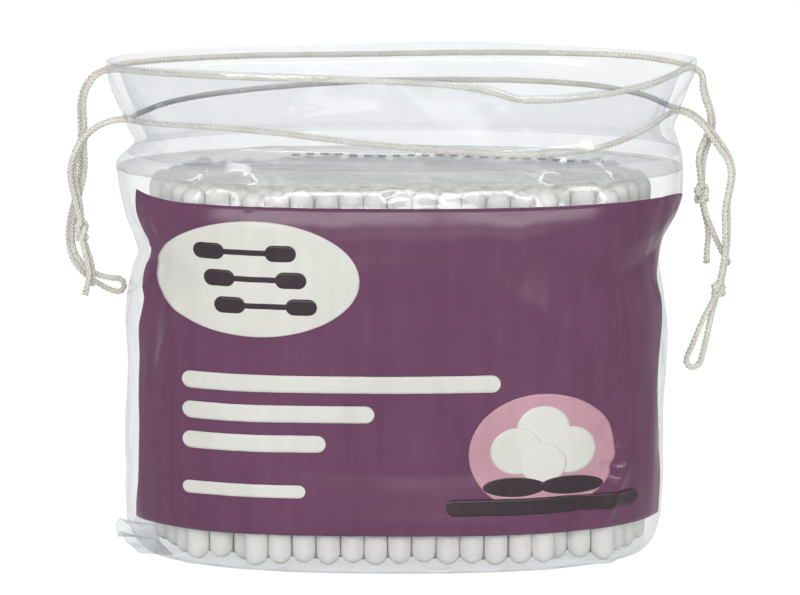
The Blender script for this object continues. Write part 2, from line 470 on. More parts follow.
# The loose film at the side folds: (side, points of back and height), ridge and width
SIDE_CREASES = [
    (-1, [(-11.0, 66.0), (-4.0, 60.0), (4.0, 61.0), (12.0, 68.0)], -0.8, 1.6), (-1, [(-9.0, 50.0), (2.0, 40.0), (9.0, 26.0)], 0.6, 1.3),
    (-1, [(-10.0, 20.0), (0.0, 14.0), (10.0, 17.0)], -0.6, 1.6), (-1, [(-12.0, 8.0), (-2.0, 5.0), (8.0, 9.0)], 0.6, 1.2),
    (1, [(-12.0, 70.0), (-3.0, 62.0), (6.0, 63.0), (12.0, 70.0)], -0.8, 1.6), (1, [(-8.0, 52.0), (0.0, 36.0), (8.0, 24.0)], 0.6, 1.3),
    (1, [(-11.0, 22.0), (0.0, 17.0), (10.0, 12.0)], -0.6, 1.5), (1, [(-12.0, 6.0), (0.0, 8.0), (9.0, 5.0)], 0.6, 1.2),
    (1, [(0.0, 82.0), (1.0, 88.0), (0.5, 95.0)], 0.6, 0.9), (-1, [(0.0, 84.0), (-1.0, 90.0), (0.0, 96.0)], 0.6, 0.9),
]


def crease_lines():
    """Every crease as points in space on the plain bag."""
    for creases, front in ((FRONT_CREASES, True), (BACK_CREASES, False)):
        for places, ridge, width in creases:
            x, height = np.array(places).T
            x, y, _, _ = plain_section(turn_at(x, height, front), height)
            yield np.stack([x, y, height], axis=1), ridge, width
    for side, places, ridge, width in SIDE_CREASES:
        y, height = np.array(places).T
        share = np.clip(np.abs(y) / along_table(BAG_DEPTH, height), 0, 1) ** (along_table(BAG_POWER, height) / 2)
        turn = np.sign(y) * np.arcsin(share)
        x, y, _, _ = plain_section(np.where(side > 0, turn, math.pi - turn), height)
        yield np.stack([x, y, height], axis=1), ridge, width


CREASES = list(crease_lines())


def wave(points, sizes, seed):
    """Smooth noise from -1 to 1 at each point, with its waves stretched to the given sizes in mm."""
    shift = Vector((seed * 7.3, seed * 3.1, seed * 5.7))
    flat = points.reshape(-1, 3) / np.array(sizes)
    return np.array([noise.noise(Vector(p) + shift) for p in flat]).reshape(points.shape[:-1])


def relief(x, y, height):
    """How far the film stands out from the plain bag, in mm."""
    points = np.stack(np.broadcast_arrays(x, y, height), axis=-1)
    stand = np.zeros(points.shape[:-1])
    for line, ridge, width in CREASES:
        nearest = np.full(stand.shape, 1e9)
        fade = np.zeros(stand.shape)
        total = len(line) - 1
        for number, (start, end) in enumerate(zip(line, line[1:])):
            run = end - start
            share = np.clip(((points - start) @ run) / (run @ run), 0, 1)
            gap = np.linalg.norm(points - start - share[..., None] * run, axis=-1)
            closer = gap < nearest
            fade = np.where(closer, np.sin(math.pi * np.clip((number + share) / total, 0.04, 0.96)) ** 0.5, fade)
            nearest = np.minimum(nearest, gap)
        stand += ridge * fade * np.exp(-np.sqrt(nearest ** 2 + 0.15 * width ** 2) / width * 1.2)
    header = np.clip((height - 78.0) / 6.0, 0, 1)
    stand = stand + (0.28 + 0.35 * header) * wave(points, (17.0, 17.0, 24.0), 1)
    stand = stand + (0.16 + 0.10 * header) * wave(points, (6.5, 6.5, 10.0), 2)
    flank = np.clip((np.abs(x) - 46.0) / 5.0, 0, 1) * (1 - header)
    stand = stand + 0.35 * flank * wave(points, (4.0, 5.0, 14.0), 3)
    face = np.clip((np.abs(y) - 21.0) / 4.0, 0, 1) * np.clip((72.0 - height) / 4.0, 0, 1) * np.clip(height / 8.0, 0, 1)
    ribs = 0.06 * np.cos(2 * math.pi * x / SWAB_PITCH) * (0.6 + 0.6 * wave(points, (16.0, 16.0, 30.0), 4))
    return stand + face * ribs


def lip_at(x, y):
    """Height of the lip of the mouth. On the front it dips to the right, where the string sags."""
    front = np.interp(x, *np.array([(-58.7, 98.4), (-40.0, 98.9), (-20.0, 98.9), (0.0, 98.5), (8.0, 98.1),
                                    (16.0, 97.0), (20.0, 95.8), (22.6, 94.7), (30.0, 94.5), (38.5, 94.9),
                                    (47.0, 95.8), (52.0, 97.0), (56.0, 98.4), (58.7, 99.0)]).T)
    back = 98.7 + 0.35 * np.sin(x / 11.0) * np.cos(x / 29.0)
    share = np.clip(0.5 - y / 12.0, 0, 1)
    return back + (front - back) * share


def bag_point(turn, height, out=0.0):
    """A point of the creased film in mm, for a turn round the bag, a height, and a distance outwards."""
    x, y, out_x, out_y = plain_section(turn, height)
    height = np.broadcast_to(np.asarray(height, float), x.shape)
    stand = relief(x, y, height)
    stand = stand * np.clip(height / 3.0, 0.05, 1)
    tips = np.linalg.norm(np.stack([x, y], axis=-1)[..., None, :] - SWAB_AXES, axis=-1).min(axis=-1)
    clear = np.clip(2.33 + 0.45 - tips - stand, 0, 3) * np.clip((79.5 - height) / 2.0, 0, 1)
    stand = stand + clear
    top = lip_at(x, y)
    raised = np.where(height > 84.0, 84.0 + (height - 84.0) * (top - 84.0) / (LIP_HEIGHT - 84.0), height)
    return np.stack([x + out_x * (stand + out), y + out_y * (stand + out), raised], axis=-1)


print(len(CREASES), "creases; the front of the bag is at y = %.1f mm" % bag_point(-math.pi / 2, 40.0)[1])

# %% [markdown]
# ## Clear blown film
# The bag is low-density polyethylene, blown as a tube and welded. It is clear, with a faint blue-grey haze,
# and shines like a soft mirror. Two walls of it look pale grey on white. At a glancing angle light meets
# more film and more gloss, so edges and creases are darker lines with bright glints. A Layer Weight node
# gives that angle. It drives the Alpha of the haze, and how much of a thin mirror is mixed over it.

# %% Material: blown low-density polyethylene film
def film_material(name, colour, haze, edge, roughness):
    """Clear film: haze colour, how solid it is seen straight, how much more at a glancing angle, and roughness."""
    material, tree, output = new_material(name)
    place = add_node(tree, "ShaderNodeTexCoord")
    bend = add_node(tree, "ShaderNodeTexNoise", {}, {"Vector": place.outputs["Object"], "Scale": 1 / (9 * MM)})
    bent = add_node(tree, "ShaderNodeVectorMath", {"operation": "MULTIPLY_ADD"},
                    {0: bend.outputs["Color"], 1: (7 * MM, 7 * MM, 7 * MM), 2: place.outputs["Object"]})
    folds = add_node(tree, "ShaderNodeTexVoronoi", {"feature": "DISTANCE_TO_EDGE"},
                     {"Vector": bent.outputs[0], "Scale": 1 / (17 * MM)})
    ridge = add_node(tree, "ShaderNodeMapRange", {"interpolation_type": "SMOOTHSTEP"},
                     {"Value": folds.outputs["Distance"], "From Min": 0.0, "From Max": 0.12, "To Min": 1.0, "To Max": 0.0})
    where = add_node(tree, "ShaderNodeMapRange", {}, {"Value": bend.outputs[0], "From Min": 0.5, "From Max": 0.65})
    some = add_node(tree, "ShaderNodeMath", {"operation": "MULTIPLY"}, {0: ridge.outputs[0], 1: where.outputs[0]})
    ripple = add_node(tree, "ShaderNodeTexNoise", {}, {"Vector": place.outputs["Object"], "Scale": 1 / (2.5 * MM)})
    height = add_node(tree, "ShaderNodeMath", {"operation": "MULTIPLY_ADD"},
                      {0: some.outputs[0], 1: 3.0, 2: ripple.outputs[0]})
    bump = add_node(tree, "ShaderNodeBump", {}, {"Strength": 0.5, "Distance": 0.12 * MM, "Height": height.outputs[0]})
    angle = add_node(tree, "ShaderNodeLayerWeight", {}, {"Blend": 0.5, "Normal": bump.outputs[0]})
    steep = add_node(tree, "ShaderNodeMath", {"operation": "POWER"}, {0: angle.outputs["Facing"], 1: 3.0})
    cloud = add_node(tree, "ShaderNodeTexNoise", {}, {"Vector": place.outputs["Object"], "Scale": 1 / (14 * MM)})
    veil = add_node(tree, "ShaderNodeMapRange", {}, {"Value": cloud.outputs[0], "From Min": 0.3, "From Max": 0.7,
                                                     "To Min": 0.85 * haze, "To Max": 1.15 * haze})
    solid = add_node(tree, "ShaderNodeMath", {"operation": "MULTIPLY_ADD", "use_clamp": True},
                     {0: steep.outputs[0], 1: edge, 2: veil.outputs[0]})
    hazy = add_node(tree, "ShaderNodeBsdfPrincipled", {},
                    {"Base Color": linear(colour), "Roughness": 0.5, "IOR": 1.51, "Specular IOR Level": 0.0,
                     "Alpha": solid.outputs[0], "Normal": bump.outputs[0]})
    mirror = add_node(tree, "ShaderNodeBsdfAnisotropic", {},
                      {"Color": linear("#FFFFFF"), "Roughness": roughness, "Normal": bump.outputs[0]})
    grazing = add_node(tree, "ShaderNodeMath", {"operation": "POWER"}, {0: angle.outputs["Facing"], 1: 4.0})
    shine = add_node(tree, "ShaderNodeMath", {"operation": "MULTIPLY_ADD", "use_clamp": True},
                     {0: grazing.outputs[0], 1: 0.35, 2: 0.022})
    both = add_node(tree, "ShaderNodeMixShader", {}, {0: shine.outputs[0], 1: hazy.outputs[0], 2: mirror.outputs[0]})
    tree.links.new(both.outputs[0], output.inputs[0])
    return material


blown_film = film_material("blown_polyethylene_film", "#8CA0BA", 0.036, 0.15, 0.10)
folded_film = film_material("folded_polyethylene_film", "#7F93AC", 0.09, 0.35, 0.12)
seal_clear = film_material("stretched_seal_film", "#F8F8F4", 0.13, 0.45, 0.08)

# %% [markdown]
# ## The film shell
# The film is one sheet: it covers the base, goes up the walls to the lip, turns over the lip and comes down
# inside to the hem weld. That path is written as rows of height and inset. Each row becomes a ring of
# points, evenly spaced round the bag. A second face lies one film thickness behind the first, so that the
# shell is closed, as a real sheet is.

# %% Rows of the shell, and the shell itself
def sheet_between(name, front, back, wrap, pole, material):
    """A closed thin sheet from two grids of points: faces between rows and columns, and rims at the ends."""
    rows, columns = front.shape[:2]
    size = rows * columns
    faces = []
    for offset, turned in ((0, False), (size, True)):
        for row in range(rows - 1):
            for column in range(columns if wrap else columns - 1):
                after = (column + 1) % columns
                quad = [row * columns + column, row * columns + after,
                        (row + 1) * columns + after, (row + 1) * columns + column]
                faces.append(tuple(offset + k for k in (reversed(quad) if turned else quad)))
    rims = [(rows - 1, False)] if pole else [(rows - 1, False), (0, True)]
    for row, first in rims:
        for column in range(columns if wrap else columns - 1):
            here, after = row * columns + column, row * columns + (column + 1) % columns
            quad = (here, after, size + after, size + here)
            faces.append(tuple(reversed(quad)) if not first else quad)
    if not wrap:
        for column, first in ((0, False), (columns - 1, True)):
            for row in range(rows - 1):
                here, above = row * columns + column, (row + 1) * columns + column
                quad = (here, above, size + above, size + here)
                faces.append(tuple(reversed(quad)) if not first else quad)
    piece = mesh_piece(name, np.concatenate([front.reshape(-1, 3), back.reshape(-1, 3)]), faces, material)
    body = bmesh.new()
    body.from_mesh(piece.data)
    bmesh.ops.remove_doubles(body, verts=body.verts, dist=0.004 * MM)
    bmesh.ops.recalc_face_normals(body, faces=body.faces)
    body.to_mesh(piece.data)
    body.free()
    return piece


def outward(points, wrap):
    """The direction out of a grid of points whose columns run round the bag and whose rows run up."""
    if wrap:
        round_way = np.roll(points, -1, axis=1) - np.roll(points, 1, axis=1)
    else:
        round_way = np.gradient(points, axis=1)
    across = np.cross(round_way, np.gradient(points, axis=0))
    return across / np.maximum(np.linalg.norm(across, axis=-1), 1e-9)[..., None]


def even_turns(count):
    """Turns round the bag that leave equal steps along its wall."""
    fine = np.linspace(-math.pi, math.pi, 4001)
    x, y, _, _ = plain_section(fine, 60.0)
    along = np.concatenate([[0], np.cumsum(np.hypot(np.diff(x), np.diff(y)))])
    return np.interp(np.linspace(0, along[-1], count, endpoint=False), along, fine)


HEM_INSET = 3.0
wall_rows = [(height, 0.0) for height in np.concatenate([
    [0.0, 0.15, 0.5, 1.0, 1.6, 2.3, 3.2, 4.2, 5.4, 6.8], np.linspace(8.2, 66.0, 42), np.linspace(67.0, 98.7, 38)])]
lip_rows = [(98.95, 0.08), (99.08, 0.25), (99.1, 0.42), (99.0, 0.62), (98.7, 0.85)]
ply_rows = [(height, HEM_INSET * min(1.0, 0.30 + (98.7 - height) / 4.0)) for height in np.linspace(98.2, 83.4, 16)]
ply_rows += [(82.6, 0.86 * HEM_INSET), (81.9, 0.6 * HEM_INSET), (81.3, 0.34 * HEM_INSET), (80.9, 0.2), (80.3, 0.16)]
turns = even_turns(230)
rings = [bag_point(turns, 0.0) * (share, share, 1) for share in (0.0, 0.12, 0.3, 0.48, 0.64, 0.78, 0.88, 0.95)]
rings += [bag_point(turns, height, -inset) for height, inset in wall_rows + lip_rows + ply_rows]
shell_front = np.stack(rings)
shell_front[0] = (0.0, 0.0, 0.0)
inner = shell_front - FILM * outward(shell_front, True)
inner[:8, :, 2] = FILM
inner[:8, :, :2] = shell_front[:8, :, :2]
film_shell = sheet_between("film_shell", shell_front, inner, True, True, blown_film)
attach(film_shell, "root")
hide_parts("film_bag")
print("film shell faces:", len(film_shell.data.polygons))

# %% [markdown]
# ## The loose ear of the bottom fold
# The bottom of the bag is folded like a parcel, and at the left one corner of the fold sticks out and lies
# on the table. It is two plies of film pressed together. A small grid from the root of the ear to its edge,
# lifted along two folds, is enough.

# %% The ear
EAR_ROOT = np.array([(-45.5, -13.5), (-49.0, -4.0), (-49.6, 4.0), (-48.0, 10.5)])
EAR_EDGE = np.array([(-52.4, -13.4), (-57.2, -3.6), (-58.3, 0.6), (-54.8, 10.2)])
along = np.linspace(0, 1, 37)
knots = np.linspace(0, 1, len(EAR_ROOT))
root_line = np.stack([np.interp(along, knots, EAR_ROOT[:, k]) for k in (0, 1)], axis=1)
edge_line = np.stack([np.interp(along, knots, EAR_EDGE[:, k]) for k in (0, 1)], axis=1)
reach = np.linspace(0, 1, 15)[:, None]
ear = np.zeros((15, 37, 3))
ear[..., :2] = root_line + reach[..., None] * (edge_line - root_line)
ear[..., 2] = 0.3 + reach * (0.5 + 2.2 * np.exp(-((along - 0.72) / 0.10) ** 2)
                             + 1.3 * np.exp(-((along - 0.30) / 0.09) ** 2) + 0.4 * np.sin(along * 14.0) ** 2)
bottom_ear = sheet_between("bottom_ear", ear, ear - (0, 0, 2 * FILM), False, False, folded_film)
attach(bottom_ear, "root")
print("the ear rises to %.1f mm" % ear[..., 2].max())

# %% [markdown]
# ## The tear-off film
# Under the open header a second film is welded across the bag. It is stretched over the swabs, so it is
# nearly flat, with shallow waves and a few folds that run in from the weld. It is a disc in the shape of the
# bag's section, built as rings from the middle out. A row of dark dashes marks where it tears.

# %% The tear-off film and its weld
SEAL_FOLDS = [((-46, -18), (-20, -13), 0.8, 1.4), ((-40, -22), (-8, -17), -0.6, 1.5), ((-50, -6), (-24, 2), 0.7, 1.6),
              ((48, -14), (22, -10), 0.8, 1.3), ((46, -19), (28, -17), -0.6, 1.2), ((50, 4), (20, 9), 0.7, 1.6),
              ((-30, 20), (-6, 14), 0.6, 1.8), ((12, -23), (4, -12), 0.5, 1.3), ((30, 20), (12, 16), -0.6, 1.8)]


def seal_height_at(x, y):
    """Height of the tear-off film over a place in the bag."""
    points = np.stack([x, y], axis=-1)
    middle = np.clip(1 - (x / 54.0) ** 2 - (y / 24.0) ** 2, 0, 1)
    height = SEAL_HEIGHT + 1.1 * middle ** 0.6
    for start, end, ridge, width in SEAL_FOLDS:
        start, run = np.array(start, float), np.subtract(end, start).astype(float)
        share = np.clip(((points - start) @ run) / (run @ run), 0, 1)
        gap = np.linalg.norm(points - start - share[..., None] * run, axis=-1)
        height = height + ridge * (1 - share) * np.exp(-np.sqrt(gap ** 2 + 0.1) / width) * np.clip(middle * 6, 0, 1)
    waves = wave(np.stack([x, y, np.zeros_like(x)], axis=-1), (11.0, 7.0, 9.0), 5)
    return height + 0.5 * waves * np.clip(middle * 4, 0, 1)


shares = np.concatenate([[0.0], np.linspace(0.05, 1.0, 30)])[:, None, None]
edge_ring = bag_point(even_turns(180), SEAL_HEIGHT, -0.12)
seal = np.tile(edge_ring, (31, 1, 1))
seal[..., :2] = shares * edge_ring[:, :2]
seal[..., 2] = seal_height_at(seal[..., 0], seal[..., 1])
seal_film = sheet_between("tear_off_film", seal, seal - (0, 0, FILM), True, True, seal_clear)
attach(seal_film, "root")
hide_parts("seal_film")
print("tear-off film between %.1f and %.1f mm" % (seal[..., 2].min(), seal[..., 2].max()))

# %% [markdown]
# ## Node trees that set out what repeats
# The dashes, the sticks and the cotton tips are each one small shape repeated many times. Geometry Nodes do
# that: a tree takes a mesh whose points are the places, puts the shape on every point, and makes the copies
# real. The places come from a rule, the tree holds the sizes as named inputs, and the result is kept as a
# plain mesh, so nothing has to be worked out again when the file is opened or exported.

# %% A tree's inputs, and how a tree is run
def new_tree(name, inputs):
    """A geometry tree with the given named inputs, and its input and output nodes."""
    tree = bpy.data.node_groups.new(name, "GeometryNodeTree")
    tree.interface.new_socket("Places", in_out="INPUT", socket_type="NodeSocketGeometry")
    tree.interface.new_socket("Result", in_out="OUTPUT", socket_type="NodeSocketGeometry")
    for title, kind in inputs:
        tree.interface.new_socket(title, in_out="INPUT", socket_type="NodeSocket" + kind)
    return tree, tree.nodes.new("NodeGroupInput").outputs, tree.nodes.new("NodeGroupOutput")


def grown(name, tree, places_mm, values):
    """The tree's result on a mesh of places, as a plain mesh object. Lengths are in metres."""
    holder = mesh_piece(name + "_places", places_mm, [])
    modifier = holder.modifiers.new("grow", "NODES")
    modifier.node_group = tree
    for item in tree.interface.items_tree:
        if item.in_out == "INPUT" and item.name in values:
            modifier[item.identifier] = values[item.name]
    evaluated = holder.evaluated_get(bpy.context.evaluated_depsgraph_get())
    mesh = bpy.data.meshes.new_from_object(evaluated)
    mesh.name = name
    piece = bpy.data.objects.new(name, mesh)
    bpy.context.scene.collection.objects.link(piece)
    bpy.data.objects.remove(holder)
    return piece


print("helpers ready")

# %% [markdown]
# ## Dashes of the tear line
# The tear line is a row of dashes, each about 1.7 mm long. The film stands up a little along the line, so a dash
# is seen from the front as a mark some 0.4 mm high. It is a thin upright box, a little uneven in length.

# %% The tree of dashes, and the dashes
dash_ink, tree, output = new_material("printed_tear_mark")
place = add_node(tree, "ShaderNodeTexCoord")
worn = add_node(tree, "ShaderNodeTexNoise", {}, {"Vector": place.outputs["Object"], "Scale": 1 / (0.5 * MM)})
colour = add_node(tree, "ShaderNodeMix", {"data_type": "RGBA"},
                  {0: worn.outputs[0], 6: linear("#75666D"), 7: linear("#A0969A")})
shader = add_node(tree, "ShaderNodeBsdfPrincipled", {}, {"Base Color": colour.outputs[2], "Roughness": 0.5})
tree.links.new(shader.outputs[0], output.inputs[0])

dash_tree, given, result = new_tree("dashes on points", [("Length", "Float"), ("Height", "Float"), ("Seed", "Int"),
                                                         ("Finish", "Material")])
size = add_node(dash_tree, "ShaderNodeCombineXYZ", {}, {0: given["Length"], 1: 0.05 * MM, 2: given["Height"]})
box = add_node(dash_tree, "GeometryNodeMeshCube", {}, {"Size": size.outputs[0]})
uneven = add_node(dash_tree, "FunctionNodeRandomValue", {"data_type": "FLOAT_VECTOR"},
                  {0: (0.75, 0.8, 1.0), 1: (1.1, 1.1, 1.0), "Seed": given["Seed"]})
copies = add_node(dash_tree, "GeometryNodeInstanceOnPoints", {},
                  {"Points": given["Places"], "Instance": box.outputs[0], "Scale": uneven.outputs[0]})
real = add_node(dash_tree, "GeometryNodeRealizeInstances", {}, {0: copies.outputs[0]})
finish = add_node(dash_tree, "GeometryNodeSetMaterial", {}, {"Geometry": real.outputs[0], "Material": given["Finish"]})
dash_tree.links.new(finish.outputs[0], result.inputs[0])

dash_x = np.arange(-21.0, 41.0, 2.9)
dash_y = np.interp(dash_x, (-21.0, 10.0, 41.0), (6.0, 3.5, -1.0))
dash_places = np.stack([dash_x, dash_y, seal_height_at(dash_x, dash_y) + 0.21], axis=1)
tear_marks = grown("tear_marks", dash_tree, dash_places,
                   {"Length": 1.7 * MM, "Height": 0.38 * MM, "Seed": 3, "Finish": dash_ink})
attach(tear_marks, "root")
print(len(dash_x), "dashes")

# %% [markdown]
# ## Ink on film
# The field is flexographic ink: thin, even, and under the gloss of the film. Pale streaks run up and down
# where the film lies on the swabs, and slow blotches show where the ink is thinner. The same recipe with
# other colours gives the off-white, the pink and the dark ink.

# %% Materials: flexographic inks
def ink_material(name, low, high, streak):
    """Ink under glossy film: two near colours, mixed by blotches and by upright streaks of a given strength."""
    material, tree, output = new_material(name)
    place = add_node(tree, "ShaderNodeTexCoord")
    upright = add_node(tree, "ShaderNodeMapping", {}, {"Vector": place.outputs["Object"], "Scale": (1.0, 1.0, 0.06)})
    streaks = add_node(tree, "ShaderNodeTexNoise", {}, {"Vector": upright.outputs[0], "Scale": 1 / (2.6 * MM)})
    blots = add_node(tree, "ShaderNodeTexNoise", {}, {"Vector": place.outputs["Object"], "Scale": 1 / (16 * MM),
                                                     "Detail": 3.0})
    both = add_node(tree, "ShaderNodeMix", {}, {0: streak, 2: blots.outputs[0], 3: streaks.outputs[0]})
    spread = add_node(tree, "ShaderNodeMapRange", {}, {"Value": both.outputs[0], "From Min": 0.3, "From Max": 0.7})
    colour = add_node(tree, "ShaderNodeMix", {"data_type": "RGBA"},
                      {0: spread.outputs[0], 6: linear(low), 7: linear(high)})
    grain = add_node(tree, "ShaderNodeTexNoise", {}, {"Vector": place.outputs["Object"], "Scale": 1 / (0.5 * MM)})
    bump = add_node(tree, "ShaderNodeBump", {}, {"Strength": 0.15, "Distance": 0.03 * MM, "Height": grain.outputs[0]})
    shader = add_node(tree, "ShaderNodeBsdfPrincipled", {},
                      {"Base Color": colour.outputs[2], "Roughness": 0.5, "Specular IOR Level": 0.1, "Coat Weight": 0.6,
                       "Coat Roughness": 0.2, "Normal": bump.outputs[0]})
    tree.links.new(shader.outputs[0], output.inputs[0])
    return material


purple_ink = ink_material("purple_flexographic_ink", "#592C4D", "#663959", 0.45)
white_ink = ink_material("off_white_flexographic_ink", "#CDCDC6", "#DADAD4", 0.3)
pink_ink = ink_material("pink_flexographic_ink", "#B58A97", "#C396A3", 0.3)
dark_ink = ink_material("aubergine_flexographic_ink", "#1E1519", "#33202B", 0.3)
print("inks:", purple_ink.name, white_ink.name, pink_ink.name, dark_ink.name)

# %% [markdown]
# ## The printed fields
# The ink is a layer on the film, so its mesh asks the bag's rule for points a few hundredths of a millimetre
# outside the film. The front field stops short of the side folds. Its left edge is drawn in where
# the bag is pinched at the waist, as read off the photograph.

# %% The front and the back field
FIELD_LEFT = [(8.2, 12.5), (14.0, 14.0), (25.0, 14.7), (38.6, 13.6), (46.0, 13.4), (54.0, 13.8), (59.5, 11.2),
              (63.5, 13.9), (66.5, 12.8), (70.0, 11.6), (74.5, 11.5)]
FIELD_RIGHT = [(8.2, 9.6), (25.0, 11.2), (37.0, 12.4), (50.0, 10.0), (59.0, 7.6), (63.0, 2.6), (68.0, 1.4), (72.0, 2.2)]
FIELD_BOTTOM, FIELD_TOP = 8.2, 73.2


def edge_turn(table, height):
    """How far round from the side fold the edge of a field is, at each height."""
    share = np.clip(along_table(table, height) / along_table(BAG_DEPTH, height), 0, 1)
    return np.arcsin(share ** (along_table(BAG_POWER, height) / 2))


def printed_field(name, front, material):
    """A thin closed layer on the front or back of the bag."""
    height = np.linspace(FIELD_BOTTOM, FIELD_TOP, 92)[:, None]
    way = np.linspace(0, 1, 190)[None, :]
    if front:
        height = height + 1.3 * np.clip((height - 66) / 7, 0, 1) * np.clip(1 - way * 7, 0, 1) ** 2
        height = height - 1.4 * np.clip((height - 66) / 7, 0, 1) * np.clip(way * 8 - 7, 0, 1) ** 2
        turn = (-math.pi + edge_turn(FIELD_LEFT, height)) * (1 - way) - edge_turn(FIELD_RIGHT, height) * way
    else:
        turn = (edge_turn(FIELD_RIGHT, height) + 0.5) * (1 - way) + (math.pi - 0.35 - edge_turn(FIELD_LEFT, height)) * way
    return sheet_between(name, bag_point(turn, height, 0.16), bag_point(turn, height, 0.04), False, False, material)


front_field = printed_field("front_field", True, purple_ink)
back_field = printed_field("back_field", False, purple_ink)
for piece, node in ((front_field, "print_field_front"), (back_field, "print_field_back")):
    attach(piece, "root")
    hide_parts(node)
print("front field faces:", len(front_field.data.polygons))

# %% [markdown]
# ## The printed design
# The design is a plain one: an oval badge with three lying swabs, four stripes, and a cotton boll on a disc.
# Discs and bars are all it takes. A disc is rings round a middle, and a bar is a grid whose height
# shrinks to nothing at its round ends. Each is laid on the film at its own small distance, so that
# what is printed later lies on what was printed first.

# %% Discs and bars on the film
def laid_on_front(x, height, out, wrap, pole):
    """Points and faces of a thin closed layer over a grid of places on the front."""
    turn = turn_at(x, height)
    return sheet_between("layer", bag_point(turn, height, out), bag_point(turn, height, out - 0.05), wrap, pole, None)


def disc(x, height, half_width, half_height, out):
    turn = np.linspace(0, 2 * math.pi, 150, endpoint=False)[None, :]
    share = np.linspace(0, 1, max(8, int(half_width / 0.5)))[:, None]
    return laid_on_front(x + share * half_width * np.cos(turn), height + share * half_height * np.sin(turn),
                         out, True, True)


def bar(left, right, bottom, top, out):
    radius, middle = (top - bottom) / 2, (top + bottom) / 2
    bend = np.linspace(0, math.pi / 2, 7)[:-1]
    steps = max(3, int((right - left - 2 * radius) / 0.7))
    x = np.concatenate([left + radius * (1 - np.cos(bend)), np.linspace(left + radius, right - radius, steps),
                        right - radius * (1 - np.cos(bend[::-1]))])[None, :]
    over = np.minimum(np.minimum(x - left, right - x), radius)
    half = np.sqrt(np.maximum(radius ** 2 - (radius - over) ** 2, 0))
    return laid_on_front(x, middle + np.linspace(-1, 1, 7)[:, None] * half, out, False, False)


def swab_mark(left, right, middle, thick, out):
    """A lying swab: a thin bar, and a fat short one at each end."""
    return [bar(left + thick / 2, right - thick / 2, middle - 0.17 * thick, middle + 0.17 * thick, out - 0.02),
            bar(left, left + 1.9 * thick, middle - thick / 2, middle + thick / 2, out),
            bar(right - 1.9 * thick, right, middle - thick / 2, middle + thick / 2, out)]


def joined(name, layers, material):
    """Several layers as one mesh object with one material."""
    body = bmesh.new()
    for layer in layers:
        body.from_mesh(layer.data)
        bpy.data.objects.remove(layer)
    mesh = bpy.data.meshes.new(name)
    body.to_mesh(mesh)
    body.free()
    mesh.materials.append(material)
    piece = bpy.data.objects.new(name, mesh)
    bpy.context.scene.collection.objects.link(piece)
    return piece


BOLL_X, BOLL_Z = 28.0, 24.5
white_shapes = joined("white_shapes", [
    disc(-28.0, 59.2, 20.2, 11.3, 0.32), bar(-42.6, 19.6, 37.0, 40.4, 0.3), bar(-42.6, -5.0, 31.0, 34.4, 0.3),
    bar(-42.6, -14.5, 25.0, 28.4, 0.3), bar(-42.6, -18.5, 15.8, 18.4, 0.3),
    disc(BOLL_X, BOLL_Z + 4.9, 5.2, 4.7, 0.35), disc(BOLL_X - 5.2, BOLL_Z + 0.6, 5.2, 4.7, 0.355),
    disc(BOLL_X + 5.2, BOLL_Z + 0.6, 5.2, 4.7, 0.36), disc(BOLL_X, BOLL_Z - 2.0, 4.6, 4.0, 0.365)], white_ink)
pink_shapes = joined("pink_shapes", [disc(BOLL_X, BOLL_Z, 14.6, 12.0, 0.3)], pink_ink)
dark_shapes = joined("dark_shapes",
                     swab_mark(-40.0, -20.0, 64.4, 3.2, 0.36) + swab_mark(-38.0, -18.0, 59.2, 3.2, 0.36)
                     + swab_mark(-36.0, -16.0, 54.0, 3.2, 0.36)
                     + [disc(BOLL_X - 5.6, BOLL_Z - 6.6, 6.2, 1.9, 0.38), disc(BOLL_X + 5.6, BOLL_Z - 6.6, 6.2, 1.9, 0.385),
                        bar(BOLL_X - 19.0, BOLL_X + 19.0, BOLL_Z - 12.2, BOLL_Z - 8.9, 0.36)], dark_ink)
for piece, node, slot in ((white_shapes, "print_white", "white_ink"), (pink_shapes, "print_pink", "pink_ink"),
                          (dark_shapes, "print_dark", "dark_ink")):
    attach(piece, "root")
    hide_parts(node)
print("design:", [(p.name, len(p.data.polygons)) for p in (white_shapes, pink_shapes, dark_shapes)])

# %% [markdown]
# ## The cotton tips
# A tip is cotton wound on the end of the stick: blunt, a little wider than long for its first part, then
# sloping to the stick. In the tree a short line along the swab is swept with a circle, and a curve gives
# the circle's size at each place. Turning and sizing every copy at random, and pushing the real
# surface in and out by noise, makes 200 tips that are alike but not the same.

# %% The tree of tips
tip_tree, given, result = new_tree("wound tips on points", [
    ("Tip Length", "Float"), ("Tip Radius", "Float"), ("Rings", "Int"), ("Sides", "Int"), ("Half Turn", "Float"),
    ("Lumps", "Float"), ("Seed", "Int"), ("Finish", "Material")])
line = add_node(tip_tree, "GeometryNodeCurvePrimitiveLine", {}, {"Start": (0, 0, 0), "End": (0, 0, -MM)})
steps = add_node(tip_tree, "GeometryNodeResampleCurve", {}, {"Curve": line.outputs[0], "Count": given["Rings"]})
share = add_node(tip_tree, "GeometryNodeSplineParameter")
closer = add_node(tip_tree, "ShaderNodeMath", {"operation": "POWER"}, {0: share.outputs["Factor"], 1: 1.9})
down = add_node(tip_tree, "ShaderNodeMath", {"operation": "MULTIPLY"}, {0: closer.outputs[0], 1: given["Tip Length"]})
under = add_node(tip_tree, "ShaderNodeMath", {"operation": "MULTIPLY"}, {0: down.outputs[0], 1: -1.0})
spot = add_node(tip_tree, "ShaderNodeCombineXYZ", {}, {2: under.outputs[0]})
spine = add_node(tip_tree, "GeometryNodeSetPosition", {}, {"Geometry": steps.outputs[0], "Position": spot.outputs[0]})
profile = add_node(tip_tree, "ShaderNodeFloatCurve", {}, {"Value": share.outputs["Factor"]})
